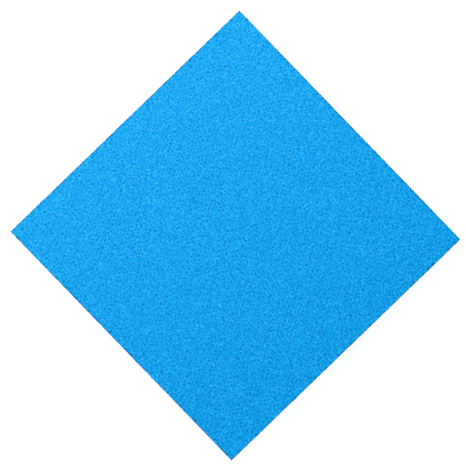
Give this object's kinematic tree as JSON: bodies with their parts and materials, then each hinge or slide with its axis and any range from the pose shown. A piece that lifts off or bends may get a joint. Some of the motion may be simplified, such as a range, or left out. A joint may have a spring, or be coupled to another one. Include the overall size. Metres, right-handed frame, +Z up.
{
  "type": "aquarium filter sponge",
  "caption": "Square pad of blue open-cell foam that strains and filters the water of an aquarium.",
  "frame": {"origin": "middle of the underside, which is the bottom centre of the pad's box", "axes": "+Z up through the thickness; +X and +Y along the sides of the square"},
  "size_m": [0.12, 0.12, 0.02],
  "materials": {
    "foam": "open-cell foam, dull, with fine cut cells"
  },
  "bodies": {
    "root": {"filter_sponge": "foam"}
  },
  "joints": []
}
